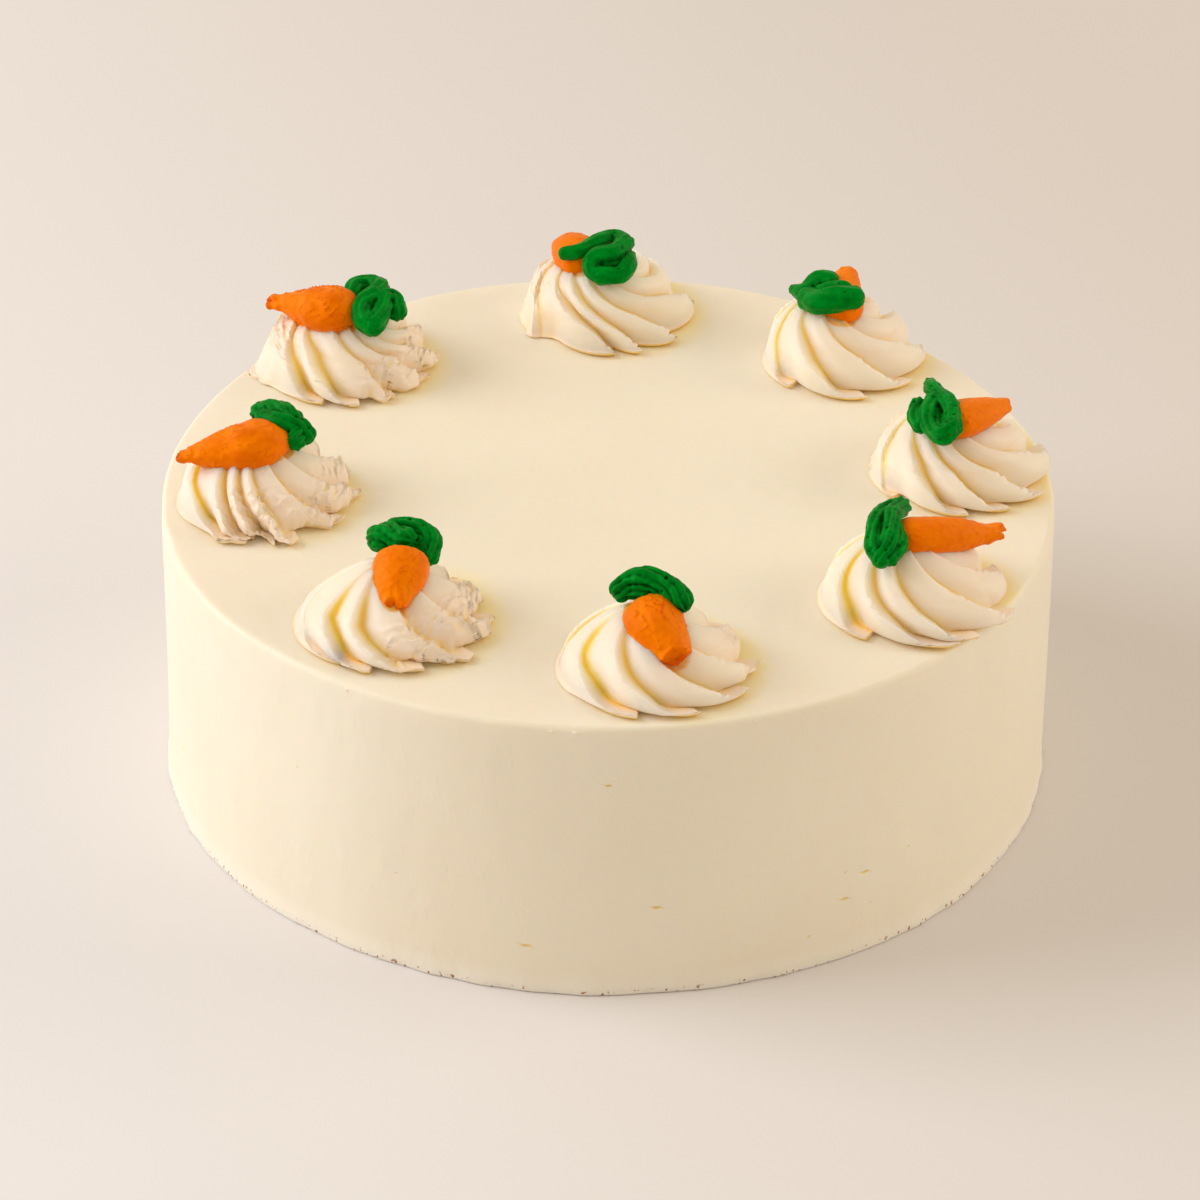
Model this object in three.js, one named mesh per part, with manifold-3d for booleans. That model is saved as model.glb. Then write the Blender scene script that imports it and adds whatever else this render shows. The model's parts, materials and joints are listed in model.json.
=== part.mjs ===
// A round carrot cake, frosted all over, with eight piped rosettes on top.
// Each rosette carries a small piped carrot with green leaves. Millimetres, +Z up,
// origin at the middle of the cake's underside, +X to the right of the front.
import * as THREE from 'three';
import { mergeVertices } from 'three/addons/utils/BufferGeometryUtils.js';
import Module from 'manifold-3d';

const wasm = await Module();
wasm.setup();

// ---------------------------------------------------------------- driving dimensions

const CAKE_RADIUS = 125;
const CAKE_HEIGHT = 85;
const RIM_ROUNDING = 1.6;
const FOOT_ROUNDING = 0.8;
const GAP = 0.3; // left between pieces that touch

const FROSTING = new THREE.MeshStandardMaterial({ color: 0xf4e8cf, roughness: 0.55, metalness: 0 });
const BUTTERCREAM = new THREE.MeshStandardMaterial({ color: 0xfbf3e0, roughness: 0.5, metalness: 0 });
const ORANGE_ICING = new THREE.MeshStandardMaterial({ color: 0xf57d0a, roughness: 0.45, metalness: 0 });
const GREEN_ICING = new THREE.MeshStandardMaterial({ color: 0x00732c, roughness: 0.45, metalness: 0 });

// Where each rosette sits (ring radius and bearing, anticlockwise from +X) and how it is piped:
// reach: how far it reaches, and how much further towards one bearing
// twist: how fast the fins turn near the middle, and how early they bend to their tips
// fins: the bearing of each crest two thirds of the way out, that of its tip, and how far
//       the groove behind it gapes
// Its carrot and leaves are measured from the middle of its foot. A carrot runs from its start
// to its tip with its widths at even steps. Each leaf rope has its thickness, how thin it
// starts beside that, and its route.
const DECORATIONS = [
  {
    place: 'back', ring: 101, bearing: 91,
    reach: { mean: 26, further: 1.5, towards: 20 }, twist: { inner: 190, outer: 2.5 },
    fins: [[172, 215, 0.6], [222, 278, 0.4], [258, 296, 0.3], [297, 323, 0.3], [345, 372, 0.3],
      [390, 430, 0.3], [435, 478, 0.3], [482, 528, 0.5]],
    carrot: {
      start: [-4, -4, 18.5], tip: [-11.5, 12, 17],
      widths: [9, 12.6, 13.6, 14, 14, 13.4, 12.4, 10.6, 7.6],
    },
    leaves: [
      [4.7, 0.85, [[-11.4, -3.7, 22.3], [-7, -3, 22.8], [-2.5, 1.5, 23], [3, 5.5, 23.2], [6.4, 1.5, 23.2]]],
      [5.2, 1, [[6.4, 1.5, 23.2], [3, -5, 23.7], [-2.4, -6, 22.2], [-3.6, -9, 19.9], [-0.6, -10.5, 18.7]]],
      [5.4, 1, [[-0.6, -10.5, 18.7], [4.6, -10, 18.7], [6.8, -7, 19.7], [7.2, -2, 20.2]]],
      [6, 1, [[-2.4, -7, 18.6], [1, -6, 19.6], [5, -4.5, 20]]],
    ],
  },
  {
    place: 'back_right', ring: 101, bearing: 49.5,
    reach: { mean: 24, further: 3.6, towards: 330 }, twist: { inner: 150, outer: 1 },
    fins: [[182, 235, 0.5], [233, 288, 0.45], [290, 325, 0.3], [338, 372, 0.25], [382, 425, 0.3],
      [424, 468, 0.3], [464, 510, 0.5], [503, 552, 0.5]],
    carrot: {
      start: [1.4, -8, 17.3], tip: [3.6, 15, 19.5],
      widths: [8, 11.6, 12, 11.6, 10.6, 9.6, 8.8, 7.8, 6],
    },
    leaves: [
      [6.6, 0.5, [[-12, 6, 18.7], [-8.5, 3, 19.7], [-5, 6.5, 21], [-2, 6, 21.2]]],
      [7.4, 1, [[-8, -1, 19.6], [-5, -5.5, 21], [0, -5.6, 22.1], [5, -4.8, 22.2]]],
      [6.4, 1, [[-5, 1, 19.5], [-2, 1.5, 20.5], [2, 1, 21]]],
    ],
  },
  {
    place: 'right', ring: 96.5, bearing: 7.2,
    reach: { mean: 26, further: 4, towards: 350 }, twist: { inner: 150, outer: 1 },
    fins: [[234, 280, 0.5], [271, 306, 0.45], [306, 332, 0.35], [345, 385, 0.2], [390, 432, 0.3],
      [440, 482, 0.3], [490, 532, 0.5], [540, 586, 0.5]],
    carrot: {
      start: [-2, -8, 19], tip: [17, 7.5, 17],
      widths: [9, 11.8, 12.4, 12, 11, 9.6, 8, 6, 4.2],
    },
    leaves: [
      [5.2, 0.8, [[-5, 11, 21.2], [-4, 4, 22.7], [0, -4.5, 22.7], [0.4, -12.8, 21]]],
      [5.4, 1, [[0.4, -12.8, 21], [-2.8, -15.4, 19.7], [-5.6, -10.5, 19.7], [-6, -4.5, 21.2],
        [-4.6, 0, 22.2]]],
      [4.8, 1, [[-8.8, 0.5, 20.2], [-9.8, -4, 19.2], [-8.4, -7.5, 18.6]]],
      [5.4, 1, [[-2.6, 1, 19.6], [-2.2, -5, 19.4], [-1.8, -11, 18.6]]],
    ],
  },
  {
    place: 'front_right', ring: 98.5, bearing: 325.7,
    reach: { mean: 27, further: 4, towards: 320 }, twist: { inner: 85, outer: 1 },
    fins: [[195, 245, 1], [235, 296, 0.4], [268, 310, 0.4], [311, 342, 0.4], [352, 388, 0.3],
      [398, 438, 0.3], [446, 488, 0.3], [498, 540, 0.5]],
    carrot: {
      start: [-4, -3, 19.5], tip: [26, 10, 13.5],
      widths: [9, 11.6, 12.2, 12, 11.4, 10.2, 8, 5.2, 6.4],
    },
    leaves: [
      [4.6, 1, [[-3.4, 8.5, 22.2], [-6.8, 5, 22.7], [-9, -1.5, 22.2], [-9.6, -8.5, 20.2], [-8, -12.6, 18.4]]],
      [5.4, 1, [[-1.6, 9.5, 21.7], [-4, 3, 23.2], [-4.6, -4, 23], [-5.6, -9.6, 20.2], [-7.8, -12.6, 18.4]]],
      [4.4, 1, [[-3, -2, 21.7], [-2.5, -7.5, 19.7], [-5, -12, 18.2]]],
      [4.2, 1, [[-6.2, 4, 19.8], [-6.8, -3, 19.4], [-7.4, -9, 17.8]]],
    ],
  },
  {
    place: 'front', ring: 95, bearing: 277,
    reach: { mean: 27, further: 2, towards: 340 }, twist: { inner: 85, outer: 1 },
    fins: [[190, 263, 1], [245, 298, 0.6], [290, 335, 0.4], [331, 364, 0.3], [375, 418, 0.3],
      [420, 465, 0.3], [466, 512, 0.5], [508, 560, 0.5]],
    carrot: {
      start: [-2, 3, 17.2], tip: [7.2, -15, 11.5],
      widths: [12, 15.4, 16.6, 16.6, 15.6, 14, 12.2, 10, 7.6],
    },
    leaves: [
      [6.2, 1, [[-8, 5.5, 20.1], [-5, 6.9, 22.1], [-0.8, 6.3, 23.5], [3.4, 4.1, 23.5], [6.2, 2.4, 22.2],
        [8, 0.4, 20.2]]],
      [4.6, 1, [[-5, 4.9, 20.5], [0, 4.5, 21.7], [4.6, 1.9, 21.1]]],
    ],
  },
  {
    place: 'front_left', ring: 93, bearing: 230.4,
    reach: { mean: 27.5, further: 3, towards: 320 }, twist: { inner: 25, outer: 1 },
    fins: [[169, 244, 0], [211, 263, 1], [243, 292, 0.7], [288, 322, 0.5], [325, 363, 0.3],
      [370, 412, 0.3], [420, 465, 0.3], [472, 522, 0.5]],
    carrot: {
      start: [4.8, 4, 19], tip: [2.6, -13.5, 12.5],
      widths: [11, 14.2, 15.4, 15.4, 14.8, 13.2, 11, 8.4, 5.6],
    },
    leaves: [
      [7, 1, [[-2.2, 10.5, 19.4], [1, 9.6, 20.7], [5, 6.5, 21.5]]],
      [5.8, 1, [[2, 12, 21.2], [6, 12, 21.7], [9.6, 11, 21.2], [11.8, 8, 19.4], [11.4, 4.6, 17.4]]],
      [5, 1, [[4, 9, 19.5], [8, 8.5, 19.5], [10, 6, 18.5]]],
    ],
  },
  {
    place: 'left', ring: 96, bearing: 183.7,
    reach: { mean: 25.2, further: 2.4, towards: 290 }, twist: { inner: 60, outer: 1 },
    fins: [[180, 262, 1], [228, 266, 0.6], [248, 279, 0.6], [267, 293, 0.5], [300, 330, 0.3],
      [335, 366, 0.3], [370, 406, 0.3], [410, 450, 0.3], [455, 498, 0.3], [500, 548, 0.5]],
    carrot: {
      start: [8, -1.5, 19], tip: [-23, -5, 15],
      widths: [7, 12.4, 16, 16.8, 15, 12, 9.2, 6.6, 3.4],
    },
    leaves: [
      [6.6, 1, [[-1, 10.5, 20.7], [3.2, 8.5, 22.4], [7.8, 4, 22]]],
      [6.2, 1, [[0, 5.8, 21.2], [5, 2.6, 21.9], [9.8, 2.4, 20.7], [12, 1, 19.4]]],
      [5, 1, [[9.8, 2, 20.2], [9.2, -2.6, 19]]],
    ],
  },
  {
    place: 'back_left', ring: 101, bearing: 136.3,
    reach: { mean: 26, further: 2.5, towards: 180 }, twist: { inner: 160, outer: 1 },
    fins: [[200, 250, 0.9], [226, 274, 0.5], [278, 300, 0.3], [312, 340, 0.3], [342, 372, 0.3],
      [375, 415, 0.3], [415, 458, 0.3], [455, 498, 0.3], [498, 545, 0.5]],
    carrot: {
      start: [1.5, -4.5, 19], tip: [-24, 4, 18],
      widths: [8, 13.8, 16.4, 16.4, 15.4, 12.8, 9.4, 5.4, 5],
    },
    leaves: [
      [5.6, 1, [[-1, 2.5, 20.7], [0, 7, 21.7], [4.2, 8.2, 22.2], [6.8, 4.5, 22.5], [5.2, -0.5, 22.5]]],
      [6.2, 1, [[5.2, -0.5, 22.5], [2, -4.5, 21.5], [2.4, -8.4, 19.7], [5.4, -10.6, 18.7]]],
      [6.2, 1, [[5.4, -10.6, 18.7], [7.4, -6.5, 20.2], [8, -1, 21.5], [10.8, 0.4, 20.5], [12, -2.6, 18.9]]],
      [6.4, 1, [[3, 3, 19.5], [4.6, -3, 19.4], [5, -7.5, 18.6]]],
    ],
  },
];

// ---------------------------------------------------------------- shared shape helpers

const radians = THREE.MathUtils.degToRad;
const mix = THREE.MathUtils.lerp;
const ease = (low, high, value) => THREE.MathUtils.smoothstep(value, low, high);

// An even spread between 0 and 1 that is the same on every run.
function uneven(seed) {
  const value = Math.sin(seed * 12.9898 + 4.1) * 43758.5453;
  return value - Math.floor(value);
}

// A closed skin of rings from a lathe: place(column, ring) says where each vertex goes.
function shapedLathe(columns, rings, place) {
  const profile = Array.from({ length: rings }, (_, ring) => new THREE.Vector2(ring, ring));
  const geometry = new THREE.LatheGeometry(profile, columns);
  const position = geometry.attributes.position;
  for (let column = 0; column <= columns; column += 1) {
    for (let ring = 0; ring < rings; ring += 1) {
      const point = place(column % columns, ring);
      position.setXYZ(column * rings + ring, point.x, point.y, point.z);
    }
  }
  return geometry;
}

function mergedMesh(geometry) {
  const bare = geometry.clone();
  bare.deleteAttribute('normal');
  bare.deleteAttribute('uv');
  return mergeVertices(bare, 1e-4);
}

// The solid of a closed mesh, turned the right way out.
function solidOf(geometry) {
  const merged = mergedMesh(geometry);
  const corners = Array.from(merged.index.array);
  const asSolid = (triangles) => new wasm.Manifold(new wasm.Mesh({
    numProp: 3,
    vertProperties: new Float32Array(merged.attributes.position.array),
    triVerts: new Uint32Array(triangles),
  }));
  const solid = asSolid(corners);
  if (solid.volume() > 0) return solid;
  const flipped = [];
  for (let i = 0; i < corners.length; i += 3) {
    flipped.push(corners[i], corners[i + 2], corners[i + 1]);
  }
  return asSolid(flipped);
}

function meshOf(solid, name, material) {
  const pieces = solid.decompose();
  const whole = pieces.reduce((best, piece) => (piece.volume() > best.volume() ? piece : best));
  const data = whole.getMesh();
  const geometry = new THREE.BufferGeometry();
  geometry.setAttribute('position', new THREE.BufferAttribute(data.vertProperties, 3));
  geometry.setIndex(new THREE.BufferAttribute(data.triVerts, 1));
  geometry.computeVertexNormals();
  const mesh = new THREE.Mesh(geometry, material);
  mesh.name = name;
  return mesh;
}

// ---------------------------------------------------------------- the frosted cake

const CAKE_SIDES = 76;
const CAKE_BANDS = 2;
const RIM_STEPS = 3;
// The scraper leaves the side out of round by this much, in slow waves and in quick ones.
const SLOW_WAVER = 0.25;
const QUICK_WAVER = 0.15;

function cakeSolid() {
  const rimMiddle = CAKE_HEIGHT - RIM_ROUNDING;
  const outline = [[0, 0], [CAKE_RADIUS - FOOT_ROUNDING, 0], [CAKE_RADIUS, FOOT_ROUNDING]];
  for (let band = 1; band <= CAKE_BANDS; band += 1) {
    outline.push([CAKE_RADIUS, mix(FOOT_ROUNDING, rimMiddle, band / CAKE_BANDS)]);
  }
  for (let step = 1; step <= RIM_STEPS; step += 1) {
    const angle = radians(90 * step / RIM_STEPS);
    outline.push([
      CAKE_RADIUS - RIM_ROUNDING * (1 - Math.cos(angle)),
      rimMiddle + RIM_ROUNDING * Math.sin(angle),
    ]);
  }
  outline.push([0, CAKE_HEIGHT]);
  return solidOf(shapedLathe(CAKE_SIDES, outline.length, (column, ring) => {
    const angle = column / CAKE_SIDES * Math.PI * 2;
    const [radius, height] = outline[ring];
    const waver = SLOW_WAVER * Math.sin(3 * angle + height / 30) + QUICK_WAVER * Math.sin(7 * angle + 1);
    const reach = radius === 0 ? 0 : radius + waver;
    return new THREE.Vector3(reach * Math.cos(angle), reach * Math.sin(angle), height);
  }));
}

// ---------------------------------------------------------------- the piped rosettes

const SWIRL_INNER = 4; // radius at which the fins start
const SWIRL_TOP = 18; // height of the crests there
const MIDDLE_DIP = 0.9; // how much lower the very middle is
const BLADE_LOW = 3.2; // height a crest sinks to, on the low side and on the high side
const BLADE_HIGH = 7.5;
const OUTLINE_HEIGHT = 1.6; // height at which it rounds over to its foot
const HIGH_SIDE = 135; // bearing of the side where the rosettes stand highest
const MEASURED_AT = 0.44; // where along a crest its first bearing is measured
const GROOVE_SHARE = 0.87; // how far the grooves reach beside the crests, on the low side
const UNEVEN_REACH = 0.06; // by how much one fin runs out further than the next
const FOOT_SHARE_LOW = 0.9; // the foot beside the outline, on the low side and on the high side
const FOOT_SHARE_HIGH = 0.98;
// Depth of the grooves: in the middle, and farther out where they are closed or gape.
const DEPTH_INSIDE = 0.6;
const DEPTH_CLOSED = 1.1;
const DEPTH_GAPING = 2.8;
// Width of the wall behind a crest, in fins, where the groove is closed or gapes.
const WALL_CLOSED = 0.08;
const WALL_GAPING = 0.16;
// The stations round a fin, from the groove before it up its face to the crest, and down.
const FACE_STATIONS = [0, 0.4, 1];
const WALL_STATIONS = [0.5];
// The stations along the fins, from the outline to the middle.
const SWIRL_STATIONS = [1, 0.86, 0.7, 0.5, 0.32, 0.12];

// A value of the crests, read between them; turns counts the crests round the rosette.
function betweenCrests(values, turns) {
  const count = values.length;
  const before = Math.floor(turns);
  return mix(values[(before + count) % count], values[(before + 1 + count) % count], turns - before);
}

// A point on the swirl: fin, face or wall and its station say where it is round the rosette,
// and along runs out from the middle (0) to the outline (1).
function swirlPoint(fin, onFace, station, along, decoration, seed) {
  const { fins, reach, twist } = decoration;
  const count = fins.length;
  const gape = onFace ? fins[(fin + count - 1) % count][2] : fins[fin][2];
  const wall = mix(WALL_CLOSED, WALL_GAPING, gape);
  const across = onFace ? mix(wall - 1, 0, station) : wall * station;
  const outward = Math.sin(along * Math.PI / 2) ** 0.9;
  const turns = fin + across;
  const middles = fins.map(([middle]) => middle);
  const sweeps = fins.map(([middle, tip]) => tip - middle);
  // The last crest comes before the first one, a full turn back.
  const lastMiddle = middles[count - 1] - 360;
  const nextMiddle = middles[0] + 360;
  const before = Math.floor(turns);
  const middleOf = (crest) => (crest < 0 ? lastMiddle : crest >= count ? nextMiddle : middles[crest]);
  const middle = mix(middleOf(before), middleOf(before + 1), turns - before);
  const beyond = Math.max(0, (along - MEASURED_AT) / (1 - MEASURED_AT));
  const angle = middle + twist.inner * Math.min(along - MEASURED_AT, 0)
    + betweenCrests(sweeps, turns) * (1 - (1 - beyond) ** twist.outer);
  const highness = 0.5 + 0.5 * Math.cos(radians(angle - HIGH_SIDE));
  // The fins fade out towards the foot of the high side.
  const smooth = ease(0.4, 0.75, highness);
  const section = onFace ? 1 - (1 - station) ** 2.4 : 1 - station;
  const rise = mix(section, 1, smooth * ease(0.6, 0.9, along));
  const longer = 1 + UNEVEN_REACH * (uneven(seed + fin) - 0.5) * (1 - smooth);
  const farthest = reach.mean + reach.further * Math.cos(radians(angle - reach.towards));
  const radius = mix(SWIRL_INNER, farthest * mix(mix(GROOVE_SHARE, 1, smooth), longer, rise), outward);
  const sunk = mix(SWIRL_TOP, mix(BLADE_LOW, BLADE_HIGH, highness), outward ** mix(1.25, 2.4, highness));
  const roundedOver = ease(0.84, 1, outward) ** mix(2, 1, highness);
  const crest = mix(sunk, OUTLINE_HEIGHT, roundedOver);
  const depth = mix(DEPTH_INSIDE, mix(DEPTH_CLOSED, DEPTH_GAPING, gape), ease(0.05, 0.5, along))
    * mix(1, 0.45, ease(0.65, 1, along));
  const height = mix(Math.max(0.5, crest - depth), crest, rise);
  const bearing = radians(angle);
  const point = new THREE.Vector3(radius * Math.cos(bearing), radius * Math.sin(bearing), height);
  return { point, highness };
}

function rosetteSolid(decoration, seed) {
  const round = [
    ...FACE_STATIONS.map((station) => [true, station]),
    ...WALL_STATIONS.map((station) => [false, station]),
  ];
  const rings = SWIRL_STATIONS.length + 3;
  return solidOf(shapedLathe(decoration.fins.length * round.length, rings, (column, ring) => {
    const fin = Math.floor(column / round.length);
    const [onFace, station] = round[column % round.length];
    if (ring === 0) return new THREE.Vector3(0, 0, 0);
    if (ring === rings - 1) return new THREE.Vector3(0, 0, SWIRL_TOP - MIDDLE_DIP);
    const along = SWIRL_STATIONS[Math.max(0, ring - 2)];
    const { point, highness } = swirlPoint(fin, onFace, station, along, decoration, seed);
    if (ring > 1) return point;
    // The foot is set back under the tips of the fins.
    return point.multiplyScalar(mix(FOOT_SHARE_LOW, FOOT_SHARE_HIGH, ease(0.45, 0.85, highness))).setZ(0);
  }));
}

// ---------------------------------------------------------------- the piped carrots

const CARROT_SIDES = 10;
const CARROT_FLATNESS = 0.86;
const CARROT_STATIONS = [0, 0.035, 0.1, 0.2, 0.34, 0.5, 0.66, 0.82, 0.95, 1];
const CARROT_START = 0.16; // the share of its length over which its start is rounded
const CARROT_LUMPS = 0.08; // how uneven its skin is, as a share of its radius

// The width at a share of a carrot's length, read between its widths at even steps.
function widthAt(widths, along) {
  const at = along * (widths.length - 1);
  const before = Math.min(Math.floor(at), widths.length - 2);
  return mix(widths[before], widths[before + 1], at - before);
}

// A carrot is round over its start and cut off at its tip. It may be grown on all sides.
function carrotSolid(carrot, seed, grown) {
  const start = new THREE.Vector3(...carrot.start);
  const tip = new THREE.Vector3(...carrot.tip);
  const axis = tip.clone().sub(start).normalize();
  const side = new THREE.Vector3(0, 0, 1).cross(axis).normalize();
  const top = axis.clone().cross(side);
  const length = start.distanceTo(tip);
  const last = CARROT_STATIONS.length - 1;
  return solidOf(shapedLathe(CARROT_SIDES, CARROT_STATIONS.length, (column, ring) => {
    const along = CARROT_STATIONS[ring];
    const turn = column / CARROT_SIDES * Math.PI * 2;
    const rounded = Math.sqrt(1 - Math.max(0, 1 - along / CARROT_START) ** 2);
    const lump = 1 + CARROT_LUMPS * (uneven(seed + column * 3 + ring * 7) - 0.5);
    const isEnd = ring === 0 || ring === last;
    const radius = isEnd ? 0 : widthAt(carrot.widths, along) / 2 * rounded * lump + grown;
    const beyond = isEnd ? grown * (ring === 0 ? -1 : 1) : 0;
    return start.clone()
      .addScaledVector(axis, along * length + beyond)
      .addScaledVector(side, radius * Math.cos(turn))
      .addScaledVector(top, CARROT_FLATNESS * radius * Math.sin(turn));
  }));
}

// ---------------------------------------------------------------- the green leaves

const ROPE_SIDES = 6;
const ROPE_END = [90, 50]; // degrees of the rings that round a rope over at its end
const ROPE_SWELLS = 3; // how soon a rope that starts thin reaches its thickness

// A rope of icing along a smooth route. It may start thin, and it is round at both ends.
function ropeSolid([thick, startShare, route], grown) {
  const curve = new THREE.CatmullRomCurve3(route.map((point) => new THREE.Vector3(...point)));
  const steps = route.length * 2 - 2;
  const frames = curve.computeFrenetFrames(steps);
  const roundEnd = ROPE_END.map((angle) => [Math.sin(radians(angle)), Math.cos(radians(angle))]);
  const stations = [];
  roundEnd.forEach(([beyond, share]) => stations.push({ step: 0, beyond: -beyond, share }));
  for (let step = 0; step <= steps; step += 1) stations.push({ step, beyond: 0, share: 1 });
  roundEnd.reverse().forEach(([beyond, share]) => stations.push({ step: steps, beyond, share }));
  return solidOf(shapedLathe(ROPE_SIDES, stations.length, (column, ring) => {
    const { step, beyond, share } = stations[ring];
    const along = step / steps;
    const radius = thick * 0.5 * mix(startShare, 1, Math.min(1, along * ROPE_SWELLS)) + grown;
    const isPole = ring === 0 || ring === stations.length - 1;
    const turn = column / ROPE_SIDES * Math.PI * 2;
    const spread = isPole ? 0 : radius * share;
    return curve.getPointAt(along)
      .addScaledVector(frames.tangents[step], beyond * radius)
      .addScaledVector(frames.normals[step], spread * Math.cos(turn))
      .addScaledVector(frames.binormals[step], spread * Math.sin(turn));
  }));
}

function leavesSolid(leaves, grown) {
  return leaves.map((leaf) => ropeSolid(leaf, grown)).reduce((joined, rope) => joined.add(rope));
}

// ---------------------------------------------------------------- assembly

const cake = new THREE.Group();
cake.add(meshOf(cakeSolid(), 'cake', FROSTING));

DECORATIONS.forEach((decoration, index) => {
  const seed = index * 50 + 1;
  const group = new THREE.Group();
  const bearing = radians(decoration.bearing);
  group.position.set(
    decoration.ring * Math.cos(bearing),
    decoration.ring * Math.sin(bearing),
    CAKE_HEIGHT + GAP,
  );

  // The leaves lie whole on the carrot's start, and both are pressed into the rosette.
  const leaves = leavesSolid(decoration.leaves, 0);
  const leavesRoom = leavesSolid(decoration.leaves, GAP);
  const carrot = carrotSolid(decoration.carrot, seed, 0).subtract(leavesRoom);
  const carrotRoom = carrotSolid(decoration.carrot, seed, GAP);
  const rosette = rosetteSolid(decoration, seed).subtract(carrotRoom).subtract(leavesRoom);

  group.add(meshOf(rosette, `rosette_${decoration.place}`, BUTTERCREAM));
  group.add(meshOf(carrot, `carrot_${decoration.place}`, ORANGE_ICING));
  group.add(meshOf(leaves, `leaves_${decoration.place}`, GREEN_ICING));
  cake.add(group);
});

export default cake;
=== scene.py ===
"""The looks of the frosted carrot cake: a smooth round cake with eight piped rosettes on top,
each with a small piped carrot and its leaves. Blender 4.5, in metres, +Z up."""
import json
import math

import bmesh
import bpy
import numpy as np
from mathutils import Matrix, Vector, noise

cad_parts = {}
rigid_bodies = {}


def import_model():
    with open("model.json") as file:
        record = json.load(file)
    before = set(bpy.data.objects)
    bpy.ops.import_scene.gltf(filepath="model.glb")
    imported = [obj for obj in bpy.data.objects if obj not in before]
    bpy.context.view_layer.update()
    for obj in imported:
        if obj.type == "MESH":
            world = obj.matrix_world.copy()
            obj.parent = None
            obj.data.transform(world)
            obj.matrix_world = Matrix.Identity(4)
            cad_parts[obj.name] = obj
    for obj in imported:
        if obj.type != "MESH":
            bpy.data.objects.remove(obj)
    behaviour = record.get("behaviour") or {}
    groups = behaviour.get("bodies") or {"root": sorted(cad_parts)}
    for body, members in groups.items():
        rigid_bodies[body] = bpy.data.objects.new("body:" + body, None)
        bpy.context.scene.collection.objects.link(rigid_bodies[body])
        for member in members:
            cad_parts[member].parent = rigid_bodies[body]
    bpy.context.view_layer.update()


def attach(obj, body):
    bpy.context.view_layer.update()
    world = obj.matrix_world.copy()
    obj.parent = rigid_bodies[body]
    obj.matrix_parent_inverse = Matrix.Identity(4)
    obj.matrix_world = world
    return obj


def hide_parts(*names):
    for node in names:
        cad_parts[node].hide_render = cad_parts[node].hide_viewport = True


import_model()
MM = 0.001


# ---------------------------------------------------------------- the camera
# A long lens looks down on the front of the cake from well back, so that its sides stay
# almost upright in the picture.
CAMERA_DISTANCE = 1750 * MM
CAMERA_ELEVATION = math.radians(32.7)
CAMERA_ROLL = math.radians(0.5)
CAMERA_TARGET = Vector((-1.8, 0, 48.5)) * MM
CAMERA_LENS = 182.6
CAMERA_SENSOR = 36

camera_data = bpy.data.cameras.new("camera")
camera_data.lens = CAMERA_LENS
camera_data.sensor_width = CAMERA_SENSOR
camera = bpy.data.objects.new("camera", camera_data)
camera.location = CAMERA_DISTANCE * Vector((0, -math.cos(CAMERA_ELEVATION), math.sin(CAMERA_ELEVATION)))
aim = (CAMERA_TARGET - camera.location).to_track_quat("-Z", "Y").to_matrix()
camera.rotation_euler = (aim @ Matrix.Rotation(CAMERA_ROLL, 3, "Z")).to_euler()
bpy.context.scene.collection.objects.link(camera)
bpy.context.scene.camera = camera


# ---------------------------------------------------------------- the studio light
# One large soft window stands to the left, a bit behind the cake, and a weak warm one fills
# in from the right. The room gives an even warm light, so shaded frosting turns yellow.
bpy.context.scene.view_settings.view_transform = "Standard"


def soft_window(name, place, size, power, colour):
    data = bpy.data.lights.new(name, "AREA")
    data.shape = "SQUARE"
    data.size = size
    data.energy = power
    data.color = colour
    window = bpy.data.objects.new(name, data)
    window.location = place
    window.rotation_euler = (Vector((0, 0, 0.05)) - Vector(place)).to_track_quat("-Z", "Y").to_euler()
    window.visible_camera = False
    bpy.context.scene.collection.objects.link(window)


soft_window("key_window", (-2.4, 0.2, 1.45), 1.9, 54, (0.96, 0.965, 0.98))
soft_window("fill_window", (1.9, 0.2, 0.9), 1.2, 13, (1.0, 0.915, 0.78))

world = bpy.data.worlds.new("warm_room")
world.use_nodes = True
world.node_tree.nodes["Background"].inputs["Color"].default_value = (1.0, 0.865, 0.69, 1)
world.node_tree.nodes["Background"].inputs["Strength"].default_value = 0.65
bpy.context.scene.world = world


# ---------------------------------------------------------------- the floor
# A wide sheet of pale warm paper that the cake stands on. It has no edge in sight.
FLOOR_SIZE = 8.0


def surface(name):
    """A new material, its node tree and its surface shader."""
    material = bpy.data.materials.new(name)
    material.use_nodes = True
    return material, material.node_tree, material.node_tree.nodes["Principled BSDF"]


def clouds(tree, place, scale, detail):
    """Noise over the places that come out of another node."""
    texture = tree.nodes.new("ShaderNodeTexNoise")
    texture.inputs["Scale"].default_value = scale
    texture.inputs["Detail"].default_value = detail
    tree.links.new(place, texture.inputs["Vector"])
    return texture.outputs["Fac"]


def blended(tree, share, *colours):
    """A blend from the first colour to the second, each a colour or another node's output."""
    blend = tree.nodes.new("ShaderNodeMix")
    blend.data_type = "RGBA"
    tree.links.new(share, blend.inputs["Factor"])
    for socket, colour in zip("AB", colours):
        if isinstance(colour, tuple):
            blend.inputs[socket].default_value = (*colour, 1)
        else:
            tree.links.new(colour, blend.inputs[socket])
    return blend.outputs["Result"]


def ranged(tree, value, low, high, start=0.0, end=1.0):
    """A value turned from low and high to start and end, and held between them."""
    turned = tree.nodes.new("ShaderNodeMapRange")
    for socket, level in zip(("From Min", "From Max", "To Min", "To Max"), (low, high, start, end)):
        turned.inputs[socket].default_value = level
    tree.links.new(value, turned.inputs["Value"])
    return turned.outputs["Result"]


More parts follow.
